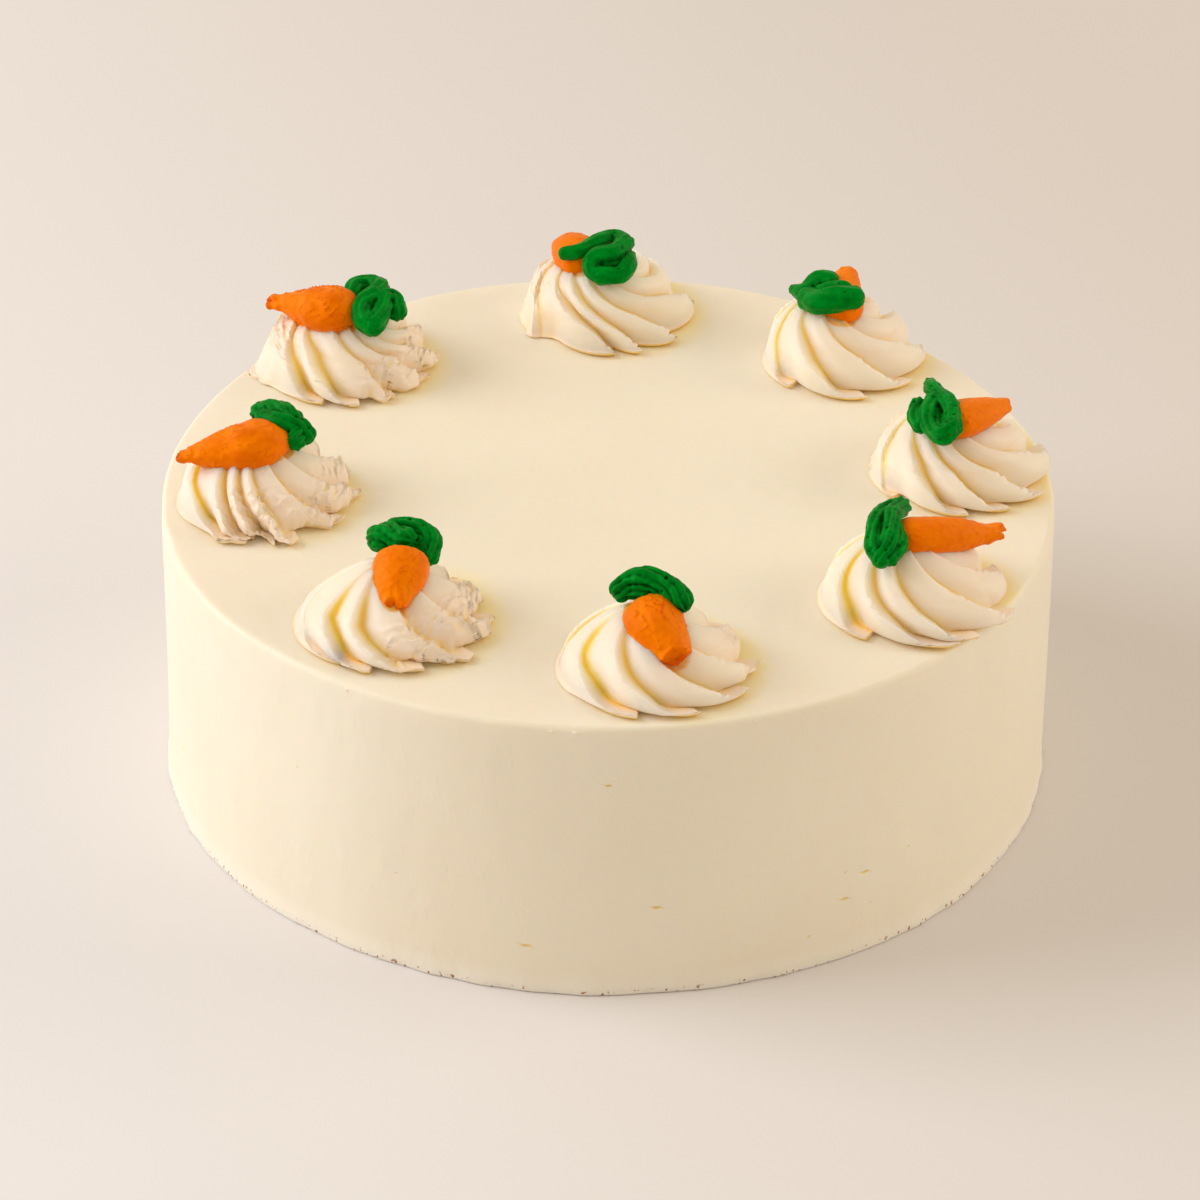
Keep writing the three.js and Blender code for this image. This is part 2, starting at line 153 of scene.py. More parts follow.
def paper():
    material, tree, shader = surface("pale_paper")
    shader.inputs["Roughness"].default_value = 0.8
    shader.inputs["Specular IOR Level"].default_value = 0.2
    # Painted light: it is a brighter, cooler white near the window and in front, and darker and
    # warmer far off, as the light falls off.
    place = tree.nodes.new("ShaderNodeTexCoord").outputs["Object"]
    across = tree.nodes.new("ShaderNodeVectorMath")
    across.operation = "DOT_PRODUCT"
    across.inputs[1].default_value = (1.56, 0.67, 0)
    tree.links.new(place, across.inputs[0])
    far = tree.nodes.new("ShaderNodeMath")
    far.operation = "MULTIPLY_ADD"
    far.inputs[1].default_value = 0.12
    tree.links.new(clouds(tree, place, 3, 2), far.inputs[0])
    tree.links.new(across.outputs["Value"], far.inputs[2])
    share = ranged(tree, far.outputs["Value"], -0.40, 0.60)
    tint = blended(tree, share, (0.835, 0.830, 0.862), (0.690, 0.648, 0.622))
    tree.links.new(tint, shader.inputs["Base Color"])
    return material


floor_mesh = bpy.data.meshes.new("floor")
bm = bmesh.new()
bmesh.ops.create_grid(bm, x_segments=4, y_segments=4, size=FLOOR_SIZE / 2)
bm.to_mesh(floor_mesh)
bm.free()
floor_mesh.materials.append(paper())
floor = bpy.data.objects.new("floor", floor_mesh)
bpy.context.scene.collection.objects.link(floor)


# ---------------------------------------------------------------- the frosted cake
# A stack of carrot sponge under one smooth coat of cream-cheese frosting. A scraper turned
# the side smooth and left faint waves, a few pits and a soft rim, and a thin lip at the foot.
CAKE_RADIUS = 125 * MM
CAKE_HEIGHT = 85 * MM
RIM_ROUNDING = 1.6 * MM
FOOT_ROUNDING = 0.8 * MM
# Steps round the cake and bands up its side.
CAKE_STEPS = 360
CAKE_BANDS = 38
# Small air holes in the side: bearing round the cake in degrees, height, width and depth in mm.
AIR_HOLES = [
    (276.1, 27.9, 2.6, 0.35), (260.7, 14.2, 2.6, 0.35), (301.2, 18.9, 2.4, 0.35), (304.8, 25.9, 2.5, 0.35),
    (271.0, 67.5, 2.0, 0.35), (296.2, 10.9, 1.3, 0.2), (301.3, 27.9, 1.1, 0.2), (311.2, 28.8, 1.3, 0.2),
    (305.6, 14.8, 1.0, 0.2), (243.0, 30.0, 1.0, 0.2), (229.0, 52.0, 1.0, 0.2), (200.0, 24.0, 1.5, 0.3),
    (345.0, 20.0, 1.3, 0.3), (30.0, 44.0, 1.6, 0.3), (72.0, 21.0, 1.9, 0.3), (118.0, 60.0, 1.3, 0.3),
    (152.0, 33.0, 1.8, 0.3),
]
# Crumbs of frosting on the side, most at the rim: bearing, height, width, and how far they
# stand out.
CRUMBS = [
    (266.8, 83.6, 2.2, 0.6), (263.6, 83.2, 1.4, 0.4), (271.0, 70.2, 1.6, 0.35), (288.0, 83.4, 1.0, 0.3),
    (236.5, 83.5, 1.2, 0.4), (41.0, 83.4, 1.5, 0.4), (140.0, 83.5, 1.2, 0.4),
]
# How often the face under a hole or crumb is cut, and how far from its middle in mm it can move.
SPOT_CUTS = 9
SPOT_REACH = 2.5


def closeness(distance, reach):
    """1 at no distance, easing to 0 at the reach."""
    share = max(0.0, 1 - abs(distance) / reach)
    return share * share * (3 - 2 * share)


def lay(point, scale, seed=0.0):
    """Smooth unevenness between about -1 and 1, with bumps about 1/scale metres apart."""
    return noise.noise(Vector((point.x * scale + seed, point.y * scale - seed, point.z * scale + 2 * seed)))


def cake_outline():
    """Half of the cake's section, from the middle of the foot round to the middle of the top."""
    outline = [(r * MM, 0) for r in (30, 60, 90, 110)]
    for angle in (-90, -60, -30, 0):
        outline.append((
            CAKE_RADIUS - FOOT_ROUNDING * (1 - math.cos(math.radians(angle))),
            FOOT_ROUNDING * (1 + math.sin(math.radians(angle))),
        ))
    rim_middle = CAKE_HEIGHT - RIM_ROUNDING
    for band in range(1, CAKE_BANDS):
        outline.append((CAKE_RADIUS, FOOT_ROUNDING + (rim_middle - FOOT_ROUNDING) * band / CAKE_BANDS))
    for angle in range(0, 91, 15):
        outline.append((
            CAKE_RADIUS - RIM_ROUNDING * (1 - math.cos(math.radians(angle))),
            rim_middle + RIM_ROUNDING * math.sin(math.radians(angle)),
        ))
    outline += [(r * MM, CAKE_HEIGHT) for r in (*np.arange(122, 62, -2.0), 56, 44, 31, 17)]
    return outline


def frosted_cake_mesh():
    bm = bmesh.new()
    points = [bm.verts.new((r, 0, z)) for r, z in [(0, 0), *cake_outline(), (0, CAKE_HEIGHT)]]
    edges = [bm.edges.new(pair) for pair in zip(points, points[1:])]
    bmesh.ops.spin(
        bm, geom=points + edges, cent=(0, 0, 0), axis=(0, 0, 1), dvec=(0, 0, 0),
        angle=2 * math.pi, steps=CAKE_STEPS, use_merge=True,
    )
    bmesh.ops.remove_doubles(bm, verts=bm.verts, dist=0.00001)
    bmesh.ops.recalc_face_normals(bm, faces=bm.faces)
    for vertex in bm.verts:
        here = vertex.co.copy()
        radius = math.hypot(here.x, here.y)
        if radius < 0.001:
            continue
        bearing = math.atan2(here.y, here.x)
        out = Vector((here.x / radius, here.y / radius, 0))
        on_side = closeness(CAKE_RADIUS - radius, 4 * MM)
        waver = 0.25 * math.sin(3 * bearing + here.z / 0.030) + 0.15 * math.sin(7 * bearing + 1)
        drawn = Vector((here.x * 60, here.y * 60, here.z * 14))
        smears = 0.28 * noise.noise(drawn) + 0.10 * noise.noise(drawn * 3.1)
        vertex.co += out * (waver + smears) * MM * on_side
        # The rim is wiped by hand, so its rounding comes and goes.
        to_corner = math.hypot(CAKE_RADIUS - radius, CAKE_HEIGHT - here.z)
        wiped = 0.55 * lay(here, 28) + 0.25 * lay(here, 90, 3)
        vertex.co += (Vector((0, 0, -0.7)) - out) * closeness(to_corner, 6 * MM) * (0.2 + 0.8 * wiped) * MM
        if here.z > CAKE_HEIGHT - 0.1 * MM:
            vertex.co.z += (0.25 * lay(here, 22, 7) + 0.08 * lay(here, 70, 9)) * MM * min(1, radius / 0.02)
        # A thin rough lip of frosting is left where the scraper met the table.
        low = closeness(here.z - FOOT_ROUNDING, 5 * MM) * on_side
        vertex.co += out * low * (0.5 + 0.6 * lay(here, 110, 5)) * MM
    # An air hole is a shallow lens, wider than it is high, and a crumb is a lump of its size.
    pit = bm.verts.layers.float.new("pit")
    spots = [(*hole[:3], -hole[3]) for hole in AIR_HOLES] + CRUMBS
    for bearing, height, width, raised in spots:
        angle = math.radians(bearing)
        out = Vector((math.cos(angle), math.sin(angle), 0))
        spot = out * CAKE_RADIUS + Vector((0, 0, height * MM))
        face = min(bm.faces, key=lambda f: (f.calc_center_median() - spot).length_squared)
        spot = face.calc_center_median()
        bmesh.ops.subdivide_edges(bm, edges=face.edges[:], cuts=SPOT_CUTS, use_grid_fill=True)
        for vertex in bm.verts:
            off = (vertex.co - spot) / MM
            if off.length < SPOT_REACH:
                sideways = off.y * out.x - off.x * out.y
                share = closeness(math.hypot(sideways / (0.7 * width), off.z / (0.26 * width)), 1)
                vertex[pit] = min(1.0, 2.2 * share) * (raised < 0)
                vertex.co += out * raised * MM * share
    mesh = bpy.data.meshes.new("frosted_cake")
    bm.to_mesh(mesh)
    bm.free()
    return mesh


def masked(tree, name):
    """The values of one of a mesh's own masks."""
    attribute = tree.nodes.new("ShaderNodeAttribute")
    attribute.attribute_name = name
    return attribute.outputs["Fac"]


def embossed(tree, shader, height, strength, distance):
    """Raises a shader's surface by the heights that come out of another node."""
    bump = tree.nodes.new("ShaderNodeBump")
    bump.inputs["Strength"].default_value = strength
    bump.inputs["Distance"].default_value = distance
    tree.links.new(height, bump.inputs["Height"])
    tree.links.new(bump.outputs["Normal"], shader.inputs["Normal"])


def frosting():
    material, tree, shader = surface("cream_cheese_frosting")
    shader.inputs["Subsurface Weight"].default_value = 0.35
    shader.inputs["Subsurface Radius"].default_value = (1.0, 0.62, 0.3)
    shader.inputs["Subsurface Scale"].default_value = 0.004
    shader.inputs["Specular IOR Level"].default_value = 0.35
    place = tree.nodes.new("ShaderNodeTexCoord").outputs["Object"]
    colour = blended(tree, clouds(tree, place, 16, 5), (0.87, 0.787, 0.632), (0.92, 0.867, 0.742))
    # Painted glow: the frosting beside each rosette is painted golden, standing in for light that
    # comes through the buttercream into the shade beside it.
    colour = blended(tree, masked(tree, "painted_glow_beside"), colour, (0.98, 0.83, 0.44))
    # Air holes show yellow crumb, and the lip at the foot is paler, with a few dark specks.
    colour = blended(tree, masked(tree, "pit"), colour, (0.84, 0.64, 0.24))
    level = tree.nodes.new("ShaderNodeSeparateXYZ")
    tree.links.new(place, level.inputs["Vector"])
    lip = ranged(tree, level.outputs["Z"], 0.0075, 0.0005)
    colour = blended(tree, lip, colour, (0.93, 0.86, 0.76))
    specks = tree.nodes.new("ShaderNodeMath")
    specks.operation = "MULTIPLY"
    tree.links.new(ranged(tree, clouds(tree, place, 900, 0), 0.68, 0.74), specks.inputs[0])
    tree.links.new(ranged(tree, level.outputs["Z"], 0.0022, 0.0012), specks.inputs[1])
    colour = blended(tree, specks.outputs["Value"], colour, (0.38, 0.16, 0.06))
    tree.links.new(colour, shader.inputs["Base Color"])
    # Strokes of the scraper: faint unevenness, drawn out up and down the side.
    stretch = tree.nodes.new("ShaderNodeMapping")
    stretch.inputs["Scale"].default_value = (1, 1, 0.6)
    tree.links.new(place, stretch.inputs["Vector"])
    strokes = clouds(tree, stretch.outputs["Vector"], 105, 4)
    strokes.node.inputs["Roughness"].default_value = 0.6
    embossed(tree, shader, ranged(tree, strokes, 0.50, 0.75), 0.4, 0.0004)
    tree.links.new(ranged(tree, strokes, 0, 1, 0.42, 0.62), shader.inputs["Roughness"])
    return material


def dressed(mesh, name, material, node):
    """Puts a finished mesh in the place of a CAD node, smooth shaded, on the cake's one body."""
    mesh.materials.append(material)
    mesh.polygons.foreach_set("use_smooth", [True] * len(mesh.polygons))
    piece = bpy.data.objects.new(name, mesh)
    bpy.context.scene.collection.objects.link(piece)
    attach(piece, "root")
    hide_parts(node)
    return piece


dressed(frosted_cake_mesh(), "frosted_cake", frosting(), "cake")


# ---------------------------------------------------------------- the piped rosettes
# Buttercream pressed through a large star nozzle in one turn, so each rosette is a low dome
# of curved fins. A fin has a broad bulging face, a thin torn crest and a deep groove, which is
# painted golden as a glow of light through the buttercream.
ROSETTE_FOOT = 85.0
SWIRL_INNER = 4.0
SWIRL_TOP = 18.0
# A crest sinks from the top to one height on the low side and to the rosette's own shoulder on
# the high side, which faces one way on all of them, and then to the outline. A shoulder that
# stands DOMED_SHOULDER above the low blades makes a full dome. In mm and degrees.
BLADE_LOW = 3.2
OUTLINE_LOW = 1.6
OUTLINE_HIGH = 0.4
DOMED_SHOULDER = 4
HIGH_SIDE = 135.0
# How far out the grooves reach beside the crests, how far out the crests' bearings are taken,
# how far a blade leans over its groove in degrees, and the share of a fin that is its face.
GROOVE_SHARE = 0.80
MEASURED_AT = 0.44
BLADE_LEAN = 4.0
FACE_SHARE = 0.60
# How far the torn steps swing a crest in degrees, and how deep they cut into it in mm.
STEP_SWING = 3.2
STEP_DEPTH = 0.55
# Vertices across a fin, and rings on the swirl and under it.
FIN_COLUMNS = 30
SWIRL_RINGS = 104
UNDER_RINGS = 12
# Where each rosette sits (ring radius in mm and bearing in degrees), how far it reaches, with
# how much further it reaches towards one bearing, how it twists, how high it stands on its high
# side in mm, the bearings between which it is torn, how much, and its fins. Each fin has the
# bearing of its crest two thirds of the way out, the bearing of its tip at the outline, and how
# far the groove behind it gapes, or below 0 is shut.
ROSETTES = [
    {
        "place": "back", "ring": 101, "bearing": 91, "reach": (26, 1.5, 20), "twist": (190, 2.5),
        "shoulder": 7, "ragged": (130, 225), "torn": 0.8,
        "fins": [
            (172, 215, 0.6), (222, 278, 0.4), (258, 296, 0.3), (297, 323, 0.3), (345, 372, 0.3),
            (390, 430, 0.3), (435, 478, 0.3), (482, 528, 0.5),
        ],
    },
    {
        "place": "back_right", "ring": 101, "bearing": 49.5, "reach": (24, 3.6, 330), "twist": (150, 1.0),
        "shoulder": 7.5, "ragged": (0, 60), "torn": 0.3,
        "fins": [
            (182, 235, 0.5), (233, 288, 0.45), (290, 325, 0.3), (338, 372, 0.25), (382, 425, 0.3),
            (424, 468, 0.3), (464, 510, 0.5), (503, 552, 0.5),
        ],
    },
    {
        "place": "right", "ring": 96.5, "bearing": 7.2, "reach": (26, 4, 350), "twist": (150, 1.0),
        "shoulder": 5.5, "ragged": (120, 200), "torn": 0.5,
        "fins": [
            (234, 280, 0.5), (271, 306, 0.45), (306, 332, 0.35), (345, 385, 0.2), (390, 432, 0.3),
            (440, 482, 0.3), (490, 532, 0.5), (540, 586, 0.5),
        ],
    },
    {
        "place": "front_right", "ring": 98.5, "bearing": 325.7, "reach": (27, 4, 320), "twist": (85, 1.0),
        "shoulder": 5, "ragged": (300, 350), "torn": 0.4,
        "fins": [
            (195, 245, 1), (235, 296, 0.4), (268, 310, 0.4), (311, 342, 0.4), (352, 388, 0.3),
            (398, 438, 0.3), (446, 488, 0.3), (498, 540, 0.5),
        ],
    },
    {
        "place": "front", "ring": 95, "bearing": 277, "reach": (27, 2, 340), "twist": (85, 1.0),
        "shoulder": 4, "ragged": (345, 60), "torn": 0.7,
        "fins": [
            (190, 263, 1), (245, 298, 0.6), (290, 335, 0.4), (331, 364, 0.3), (375, 418, 0.3),
            (420, 465, 0.3), (466, 512, 0.5), (508, 560, 0.5),
        ],
    },
    {
        "place": "front_left", "ring": 93, "bearing": 230.4, "reach": (27.5, 3, 320), "twist": (25, 1.0),
        "shoulder": 2.2, "ragged": (280, 60), "torn": 1.5,
        "fins": [
            (169, 244, -0.5), (211, 263, 1), (243, 292, 0.7), (288, 322, 0.5), (325, 363, 0.3),
            (370, 412, 0.3), (420, 465, 0.3), (472, 522, 0.0),
        ],
    },
    {
        "place": "left", "ring": 96, "bearing": 183.7, "reach": (25.2, 2.4, 290), "twist": (60, 1.0),
        "shoulder": 7, "ragged": (250, 60), "torn": 1.5,
        "fins": [
            (180, 262, 1), (228, 266, 0.6), (248, 279, 0.6), (267, 293, 0.5), (300, 330, 0.3),
            (335, 366, 0.3), (370, 406, 0.3), (410, 450, 0.3), (455, 498, 0.3), (500, 548, 0.5),
        ],
    },
    {
        "place": "back_left", "ring": 101, "bearing": 136.3, "reach": (26, 2.5, 180), "twist": (160, 1.0),
        "shoulder": 7.5, "ragged": (280, 205), "torn": 1.3,
        "fins": [
            (200, 250, 0.9), (226, 274, 0.5), (278, 300, 0.3), (312, 340, 0.3), (342, 372, 0.3),
            (375, 415, 0.3), (415, 458, 0.3), (455, 498, 0.3), (498, 545, 0.5),
        ],
    },
]


def uneven(seed):
    """An even spread between 0 and 1 that is the same on every run."""
    return np.mod(np.sin(np.asarray(seed) * 12.9898 + 4.1) * 43758.5453, 1.0)


def mix(a, b, share):
    return a + (b - a) * share


def ease(low, high, value):
    """0 below low, 1 above high, and a smooth rise between them."""
    share = np.clip((value - low) / (high - low), 0, 1)
    return share * share * (3 - 2 * share)


def torn_steps(along, teeth, seed):
    """Small sawtooth steps along a crest, each of its own depth, between 0 and 1."""
    counted = along * teeth + 5 * uneven(seed) + 0.5 * np.sin(along * 2.6 * teeth + seed)
    step = np.mod(counted, 1.0)
    return (step ** 2 - 0.4) * (0.3 + uneven(seed * 3 + np.floor(counted)))


def swirl(turns, along, rosette, seed):
    """The swirl's surface in mm round its own middle. turns runs round it, counted in fins,
    and along out from the middle (0) to the outline (1). The last values are its painted gold
    light (a golden colour standing in for light through the buttercream in its grooves), how far
    it belongs to the high side, and how torn it is."""
    middles, tips, gapes = np.array(rosette["fins"]).T
    count = len(middles)
    fin = np.floor(turns) % count
    step = turns - np.floor(turns)
    rising = np.clip(step / FACE_SHARE, 0, 1)
    falling = np.clip((step - FACE_SHARE) / (1 - FACE_SHARE), 0, 1)
    on_face = step < FACE_SHARE
    # The crests stand at whole numbers round the rosette, each with its wall and groove behind.
    gape = np.where(on_face, np.roll(gapes, 1)[fin.astype(int)], gapes[fin.astype(int)])
    shut = 1 - ease(-0.5, 0, gape)
    gape = np.maximum(gape, 0)
    wall = mix(0.055, 0.20, gape) * mix(1.0, 0.5, ease(0.5, 1.0, along))
    across = np.where(on_face, mix(wall - 1, 0, rising ** 1.1), wall * falling ** 1.2)
    rise = np.where(on_face, 1 - (1 - rising) ** mix(2.7, 1.9, gape), np.cos(falling * math.pi / 2) ** 1.3)
    crest = np.exp(-((step - FACE_SHARE) / 0.07) ** 2)
    # Each fin runs out a bit more or less than the next, and its crest is torn in small steps.
    outward = np.sin(along * math.pi / 2) ** 0.9
    longer = 1 + 0.06 * (uneven(seed + fin) - 0.5)
    steps = torn_steps(along, 8, seed + fin) + 0.5 * torn_steps(along, 23, seed + fin + 9)
    numbers = np.arange(-1, count + 1)
    middle = np.interp(fin + across, numbers, [middles[-1] - 360, *middles, middles[0] + 360])
    sweeps = tips - middles
    sweep = np.interp(fin + across, numbers, [sweeps[-1], *sweeps, sweeps[0]])
    inner_twist, outer_power = rosette["twist"]
    beyond = np.clip((along - MEASURED_AT) / (1 - MEASURED_AT), 0, 1)
    angle = middle + inner_twist * np.minimum(along - MEASURED_AT, 0)
    angle += sweep * (1 - (1 - beyond) ** outer_power)
    # Where the nozzle was pulled away the fins are torn, and don't hang over their grooves.
    tear_start, tear_end = rosette["ragged"]
    tear_reach = ((tear_end - tear_start) % 360) / 2 + 25
    off = np.abs(np.mod(angle - tear_end + tear_reach - 25 + 180, 360) - 180)
    torn = (1 - ease(tear_reach - 45, tear_reach, off)) * rosette["torn"] * ease(0.25, 0.5, along)
    whole = 1 - np.minimum(torn, 1)
    angle += whole * (
        BLADE_LEAN * (rise - 1) * ease(0.5, 1.0, along) - STEP_SWING * steps * crest * ease(0.2, 0.45, along)
    )
    # The crests sink from the middle to the outline, early on the low side and late on the
    # high one, where the swirl stands up like a shoulder before it rounds down to its foot.
    highness = 0.5 + 0.5 * np.cos(np.radians(angle - HIGH_SIDE))
    # The fins fade out towards the foot of the high side.
    smooth = ease(0.4, 0.75, highness)
    rise = mix(rise, 1, smooth * ease(0.6, 0.9, along))
    crest = crest * (1 - smooth * ease(0.6, 0.9, along))
    reach, further, towards = rosette["reach"]
    reach = reach + further * np.cos(np.radians(angle - towards))
    reach = reach * mix(mix(GROOVE_SHARE, 1, smooth), mix(longer, 1, smooth), rise ** 2)
    radius = mix(SWIRL_INNER, reach, outward)
    shoulder = rosette["shoulder"]
    dome = highness * min(1, max(0, (shoulder - BLADE_LOW) / DOMED_SHOULDER))
    crest_height = mix(SWIRL_TOP, mix(BLADE_LOW, shoulder, highness), outward ** mix(1.25, 2.4, dome))
    at_outline = mix(OUTLINE_LOW, OUTLINE_HIGH, ease(0.35, 0.7, highness))
    crest_height = mix(crest_height, at_outline, ease(0.84, 1.0, outward) ** mix(2.0, 1.0, highness))
    depth = mix(0.5, mix(0.7, 2.0, gape), ease(0.05, 0.5, along)) * mix(1.0, 0.45, ease(0.65, 1.0, along))
    depth *= mix(0.55, 1, whole) * (1 - shut)
    groove_height = np.maximum(0.35, crest_height - depth)
    height = mix(groove_height, crest_height + 0.3 * crest, rise)
    height -= STEP_DEPTH * steps * crest * ease(0.2, 0.5, along)
    # The grooves are painted golden, standing in for light that shines through the buttercream
    # into their shade, most where they gape.
    deep = np.where(on_face, 1 - ease(0.0, mix(0.3, 0.55, gape), rise), 1 - ease(0.35, 0.85, rise))
    painted_gold_light = mix(0.4, 1.0, gape) * (1 - shut) * deep * ease(0.1, 0.35, along)
    painted_gold_light *= mix(1, 0.6, ease(0.7, 1.0, along))
    bearing = np.radians(angle)
    return radius * np.cos(bearing), radius * np.sin(bearing), height, painted_gold_light, highness, torn


def piped_skin(name, columns, rings):
    """A closed ball of icing still to be drawn out, and the column and ring of each vertex."""
    skin = bmesh.new()
    bmesh.ops.create_uvsphere(skin, u_segments=columns, v_segments=rings, radius=1)
    mesh = bpy.data.meshes.new(name)
    skin.to_mesh(mesh)
    skin.free()
    ball = places_of(mesh)
    column = np.round(np.mod(np.arctan2(ball[:, 1], ball[:, 0]) / (2 * np.pi), 1.0) * columns)
    ring = np.round(np.arccos(np.clip(ball[:, 2], -1, 1)) / np.pi * rings)
    return mesh, column, ring


def places_of(mesh):
    """The places of a mesh's vertices, one to a row, in metres."""
    places = np.empty(len(mesh.vertices) * 3)
    mesh.vertices.foreach_get("co", places)
    return places.reshape(-1, 3)


def put(mesh, places, push=None):
    """Moves a mesh's vertices to their places in metres, and pushes them out by push in mm."""
    mesh.vertices.foreach_set("co", places.ravel())
    mesh.update()
    if push is not None:
        normals = np.empty(len(places) * 3)
        mesh.vertex_normals.foreach_get("vector", normals)
        put(mesh, places + normals.reshape(-1, 3) * (push * MM)[:, None])


def mask(mesh, name, values):
    """Keeps a value for each vertex of a mesh, for its material to read."""
    mesh.attributes.new(name, "FLOAT", "POINT").data.foreach_set("value", values)


def hollows(mesh, rounds, depth):
    """How far each vertex lies in a hollow, from 0 to 1 at the depth in mm."""
    places = places_of(mesh)
    ends = np.empty(len(mesh.edges) * 2, np.int32)
    mesh.edges.foreach_get("vertices", ends)
    a, b = ends.reshape(-1, 2).T
    count = np.bincount(ends, minlength=len(places))
    smooth = places.copy()
    for _ in range(rounds):
        smooth = np.stack([
            (np.bincount(a, smooth[b, k], len(places)) + np.bincount(b, smooth[a, k], len(places))) / count
            for k in range(3)
        ], 1)
    normals = np.empty(len(places) * 3)
    mesh.vertex_normals.foreach_get("vector", normals)
    return np.clip(((smooth - places) * normals.reshape(-1, 3)).sum(1) / (depth * MM), 0, 1)


def rosette_mesh(rosette, index):
    seed = index * 50 + 1
    columns = FIN_COLUMNS * len(rosette["fins"])
    rings = SWIRL_RINGS + UNDER_RINGS
    mesh, turn, ring = piped_skin("rosette", columns, rings)
    along = np.clip((ring - 1) / (SWIRL_RINGS - 1), 0, 1)
    x, y, z, painted_gold_light, highness, torn = swirl(np.mod(turn, columns) / FIN_COLUMNS, along, rosette, seed)
    # Past the outline the skin turns under the blades, to a foot that is set back under the
    # low ones and spreads a little under the high ones.
    under = np.clip((ring - SWIRL_RINGS) / UNDER_RINGS, 0, 1)
    lip = np.minimum(1.2, 0.7 * z)
    turned_in = z - lip * ease(0.0, 0.3, under)
    sunk = mix(z - lip, -0.5, ease(0.3, 0.9, under))
    z = np.where(under > 0, np.where(under < 0.3, turned_in, sunk), z)
    inset = mix(1.0, mix(0.92, 1.01, ease(0.45, 0.85, highness)), ease(0.0, 0.8, under))
    inset = np.where(ring == rings, 0.0, inset)
    # Painted shade: the skin under the blades is painted golden as a golden shadow, most under the low
    # blades.
    painted_gold_light = np.where(under > 0.1, mix(0.9, 0.25, highness), painted_gold_light)
    x, y = x * inset, y * inset
    middle = ring == 0
    x[middle], y[middle], z[middle] = 0, 0, SWIRL_TOP - 0.4
    bearing = math.radians(rosette["bearing"])
    ring_radius = rosette["ring"]
    centre = np.array([ring_radius * math.cos(bearing), ring_radius * math.sin(bearing), ROSETTE_FOOT])
    places = (np.stack([x, y, z], 1) + centre) * MM
    # Torn parts take less of the painted gold light, the golden colour that stands in for light.
    # The grain of whipped buttercream, and torn flakes where the nozzle was pulled away.
    painted_gold_light = painted_gold_light * (1 - 0.6 * np.minimum(torn, 1))
    out_from = np.hypot(x, y)
    outline = (np.stack([24 * x, 24 * y, 0 * x], 1) / np.maximum(out_from, 1)[:, None] + centre) * MM
    push, raised, frayed = np.zeros((3, len(places)))
    for i, (here, tear) in enumerate(zip(map(Vector, places), torn)):
        push[i] = 0.08 * lay(here, 420, index) + 0.04 * lay(here, 1100, index)
        if tear > 0:
            # Ruffled layers with thin broken edges, and finer flakes on them.
            flat = Vector((here.x, here.y, 0))
            broad = lay(flat, 110, index + 3)
            layer = out_from[i] / 3.0 + 1.9 * broad
            layer += 0.6 * lay(flat, 260, index + 5) + 0.3 * lay(flat, 700, index)
            rim = layer % 1.0
            ruffle = min(rim ** 1.6, (1 - rim) / 0.16) * (0.7 + 0.6 * lay(flat, 200, index + 2))
            flakes = (1 - min(1.0, 2.4 * abs(lay(flat, 230, index + 7)))) ** 2
            fine = (1 - min(1.0, 2.4 * abs(lay(flat, 520, index + 9)))) ** 2
            raised[i] = tear * (0.6 * broad + 1.5 * (ruffle - 0.3))
            raised[i] += tear * (0.5 * (flakes - 0.3) + 0.4 * (fine - 0.3))
            edge = Vector(outline[i])
            frayed[i] = 0.13 * lay(edge, 130, index + 11) + 0.09 * lay(edge, 380, index + 13)
            frayed[i] *= min(1.0, tear)
    # The flakes stand straight up and dip a little, so that they never cut into each other.
    raised = np.maximum(raised, -0.12 * np.clip(z, 0, 4))
    push[under > 0] *= 0.1
    places[:, 2] += np.where(under > 0, 0, raised * (1 - ease(0.8, 0.97, along))) * MM
    fray = 1 + frayed * ease(0.5, 1.0, along)
    places[:, :2] = centre[:2] * MM + (places[:, :2] - centre[:2] * MM) * fray[:, None]
    put(mesh, places, push * (z > 0.3))
    # Painted glow: the hollows of the torn flakes are painted golden, standing in for light through the cream
    # in their shade.
    painted_gold_light += 0.6 * hollows(mesh, 10, 0.5) * np.minimum(torn, 1)
    # Light is lost through the thin foot and flakes, so they let less of it in. The thin foot also
    # takes a little more of the painted gold light, a painted glow in its shade.
    thin = 1 - ease(0.6, 3.0, places[:, 2] / MM - ROSETTE_FOOT)
    mask(mesh, "painted_gold_light", np.clip(painted_gold_light + 0.12 * thin, 0, 1))
    mask(mesh, "solid", (1 - thin) * (1 - 0.8 * np.minimum(1.4 * torn, 1)))
    return mesh


